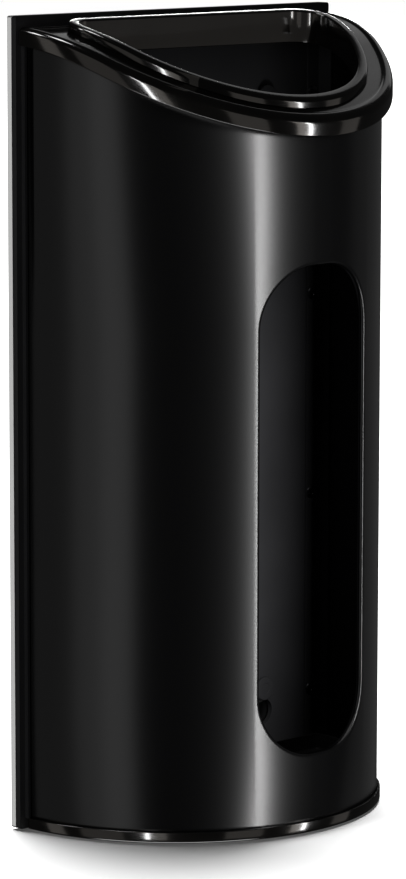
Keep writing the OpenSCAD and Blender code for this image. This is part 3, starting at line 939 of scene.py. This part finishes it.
class ASHBIN_OT_stage(bpy.types.Operator):
    """Pale floor, soft studio lights and the camera"""

    bl_idname = "ashbin.stage"
    bl_label = "Stage"

    lit = {
        "shell": ["shell_sheet"],
        "gloss": ["top_rim_moulding", "mouth_ring_moulding", "base_cap_moulding"],
        "plate": ["wall_plate_metal"],
        "coated": ["back_panel_coated", "left_channel_folded", "right_channel_folded"],
        "inside": ["back_panel_coated", "right_channel_folded", "hanging_stud_set", "washer_set"],
        "floor": ["floor"],
        "outside": [
            "wall_plate_metal", "shell_sheet", "floor_pan_pressed", "rim_clip_set", "base_screw_set",
            "mouth_screw_set", "left_channel_rivets_domed", "right_channel_rivets_domed",
        ],
    }

    def execute(self, context):
        looks = context.scene.ash_bin_looks
        self.floor(looks)
        self.sky(context.scene)
        self.sun()
        for values in self.lamps():
            self.lamp(*values)
        self.camera(context.scene)
        return {"FINISHED"}

    def lamps(self):
        """Name, bearing, height over the bin's middle, distance, width, height, glow, tint, group."""
        white, warm = (1, 1, 1), (1, 0.93, 0.86)
        return [
            ("front strip", 6.2, -0.15, 1.6, 0.09, 3.0, 46, white, "shell"),
            ("left key", -76, -0.15, 1.6, 0.50, 3.0, 0.76, white, "shell"),
            ("left side", -93.5, -0.15, 1.6, 0.48, 3.0, 0.44, white, "shell"),
            ("left bank", -126, -0.15, 1.6, 1.4, 3.0, 0.13, white, "shell"),
            ("right fill", 92, -0.15, 1.6, 1.6, 3.0, 0.06, white, "shell"),
            ("right glint", 29, -0.05, 1.6, 0.07, 1.2, 34, white, "gloss"),
            ("right halo", 24, -0.05, 1.62, 0.20, 1.3, 2.4, warm, "gloss"),
            ("right glow", 58, -0.05, 1.64, 0.4, 1.3, 0.35, warm, "gloss"),
            ("front glow", -7, -0.15, 1.62, 0.6, 1.1, 0.45, warm, "gloss"),
            ("left glint", -59, -0.05, 1.6, 0.06, 1.2, 34, white, "gloss"),
            ("left halo", -53, -0.05, 1.62, 0.24, 1.3, 1.1, warm, "gloss"),
            ("left glow", -84, -0.05, 1.64, 0.7, 1.5, 0.34, warm, "gloss"),
            ("rear left glow", -112, 0.0, 1.64, 0.3, 1.7, 0.7, warm, "gloss"),
            ("top glint", -126, 1.9, 0.6, 0.4, 0.4, 16, white, "gloss"),
            ("left high", -126, 1.5, 1.4, 0.35, 0.35, 18, white, "gloss"),
            ("crest glint", 136, 0.55, 1.6, 0.9, 0.12, 14, white, "gloss"),
            ("low glint", -44, -1.5, 1.3, 2.8, 0.9, 7, white, "gloss"),
            ("right high", 124, 0.95, 1.6, 1.3, 0.9, 0.35, white, "gloss"),
            ("wall bank", -136, 0.0, 1.6, 1.2, 3.0, 0.85, white, "plate"),
            ("rear bank", 180, 0.0, 1.6, 1.6, 2.0, 0.6, white, "plate"),
            ("edge glint", -66, 0.0, 1.6, 0.10, 2.4, 12, white, "coated"),
            ("slot fill", -3.6, -0.04, 0.2, 0.045, 0.25, 32, white, "inside"),
            ("lip glint", 110, 1.2, 1.5, 0.5, 0.4, 20, white, "shell"),
            ("panel edge", -137, 0.0, 1.6, 0.3, 3.0, 0.25, white, "coated"),
            ("throat glow", 20, 0.165, 0.055, 0.18, 0.06, 0.17, warm, "gloss"),
            ("top box", -20, 2.1, 0.4, 1.8, 1.8, 1.0, white, "outside"),
        ]

    def sun(self):
        """Broad light on the floor from above and behind, for a soft shadow round the base."""
        data = bpy.data.lights.new("floor light", "SUN")
        data.energy = 8  # twice what turns open floor white, so that the shadow ends near the base
        data.angle = radians(38)
        lamp = bpy.data.objects.new("floor light", data)
        around, tilt = radians(-36), radians(17.8)
        way = Vector((sin(around) * sin(tilt), -cos(around) * sin(tilt), -cos(tilt)))
        lamp.rotation_euler = way.to_track_quat("-Z", "Y").to_euler()
        self.aim(lamp, "floor")

    def aim(self, lamp, group):
        """Lets a lamp light one group of pieces only."""
        lamp.visible_camera = False
        bpy.context.scene.collection.objects.link(lamp)
        pieces = bpy.data.collections.new("lit by " + lamp.name)
        for name in self.lit[group]:
            pieces.objects.link(bpy.data.objects[name])
        lamp.light_linking.receiver_collection = pieces

    def lamp(self, name, around, height, away, wide, tall, glow, tint, group):
        """A soft box that faces the bin; bearing 0 is straight in front and 90 is to the right."""
        data = bpy.data.lights.new(name, "AREA")
        data.shape = "RECTANGLE"
        data.size, data.size_y = wide, tall
        data.energy = glow * pi * wide * tall
        data.color = tint
        lamp = bpy.data.objects.new(name, data)
        angle, near = radians(around), 0.3
        lamp.location = (away * sin(angle), -away * cos(angle), height)
        face = -lamp.location
        if abs(height) < max(away, near):
            face.z = 0  # lamps well above or below the bin tip towards it, the others stay level
        lamp.rotation_euler = face.to_track_quat("-Z", "Y").to_euler()
        lamp.visible_glossy = name != "slot fill"  # it hangs so near that it would be mirrored
        self.aim(lamp, group)

    def floor(self, looks):
        """A wide pale floor, just under the bin."""
        bm = bmesh.new()
        bmesh.ops.create_grid(bm, x_segments=1, y_segments=1, size=6)
        bmesh.ops.translate(bm, verts=bm.verts, vec=(0, 0, BOTTOM - MM))
        mesh = bpy.data.meshes.new("floor")
        bm.to_mesh(mesh)
        bm.free()
        floor = bpy.data.objects.new("floor", mesh)
        bpy.context.scene.collection.objects.link(floor)
        pale = Finish("floor paint")
        mottle = pale.noise(3, 2)
        mesh.materials.append(
            pale.surface(
                {
                    "Base Color": pale.blend(mottle, darker(looks.floor, 0.99), looks.floor),
                    "Roughness": 0.7,
                    "Specular IOR Level": 0.2,
                    "Emission Color": (1, 1, 1, 1),
                    "Emission Strength": 0.05,
                }
            )
        )
        floor.visible_glossy = False
        floor.visible_diffuse = False
        floor.visible_shadow = False

    def sky(self, scene):
        """White behind everything, and a dim even glow for what the bin reflects."""
        world = bpy.data.worlds.new("studio")
        scene.world = world
        world.use_nodes = True
        nodes, links = world.node_tree.nodes, world.node_tree.links
        nodes.clear()
        path = nodes.new("ShaderNodeLightPath")
        seen, glow = nodes.new("ShaderNodeBackground"), nodes.new("ShaderNodeBackground")
        seen.inputs["Color"].default_value = (1, 1, 1, 1)
        glow.inputs["Color"].default_value = (0.02, 0.02, 0.02, 1)
        mix, output = nodes.new("ShaderNodeMixShader"), nodes.new("ShaderNodeOutputWorld")
        links.new(path.outputs["Is Camera Ray"], mix.inputs[0])
        links.new(glow.outputs[0], mix.inputs[1])
        links.new(seen.outputs[0], mix.inputs[2])
        links.new(mix.outputs[0], output.inputs[0])

    def camera(self, scene):
        """A long lens, a little above the bin and well to its left."""
        bearing, pitch, distance = radians(-43.8), radians(8.8), 2.024
        target = Vector((0, 0, -0.0219))
        data = bpy.data.cameras.new("camera")
        data.lens = 167.9
        data.sensor_width = 36
        data.sensor_fit = "AUTO"
        data.shift_x, data.shift_y = 0.0389, 0.0117
        data.clip_end = 50
        camera = bpy.data.objects.new("camera", data)
        away = Vector((sin(bearing) * cos(pitch), -cos(bearing) * cos(pitch), sin(pitch)))
        camera.location = target + away * distance
        camera.rotation_euler = (-away).to_track_quat("-Z", "Y").to_euler()
        scene.collection.objects.link(camera)
        scene.camera = camera
        scene.view_settings.view_transform = "Standard"


# ---------------------------------------------------------------- add-on


PIECES = [
    ASHBIN_OT_wall_plate,
    ASHBIN_OT_studs,
    ASHBIN_OT_back_panel,
    ASHBIN_OT_edge_channels,
    ASHBIN_OT_shell,
    ASHBIN_OT_floor_pan,
    ASHBIN_OT_base_cap,
    ASHBIN_OT_base_screws,
    ASHBIN_OT_top_rim,
    ASHBIN_OT_mouth_ring,
    ASHBIN_OT_mouth_screws,
    ASHBIN_OT_rim_clips,
    ASHBIN_OT_stage,
]


class ASHBIN_PT_panel(bpy.types.Panel):
    """Lists the bin's pieces and settings in the sidebar"""

    bl_idname = "ASHBIN_PT_panel"
    bl_label = "Ash bin"
    bl_space_type = "VIEW_3D"
    bl_region_type = "UI"
    bl_category = "Ash bin"

    def draw(self, context):
        for piece in PIECES:
            self.layout.operator(piece.bl_idname)
        for group in (context.scene.ash_bin_sizes, context.scene.ash_bin_looks):
            column = self.layout.column()
            for name in group.__annotations__:
                column.prop(group, name)


CLASSES = [AshBinSizes, AshBinLooks, *PIECES, ASHBIN_PT_panel]


def register():
    for cls in CLASSES:
        bpy.utils.register_class(cls)
    bpy.types.Scene.ash_bin_sizes = PointerProperty(type=AshBinSizes)
    bpy.types.Scene.ash_bin_looks = PointerProperty(type=AshBinLooks)


def unregister():
    del bpy.types.Scene.ash_bin_looks
    del bpy.types.Scene.ash_bin_sizes
    for cls in reversed(CLASSES):
        bpy.utils.unregister_class(cls)


def main():
    register()
    for piece in PIECES:
        group, operator = piece.bl_idname.split(".")
        getattr(getattr(bpy.ops, group), operator)()


if __name__ == "__main__":
    main()
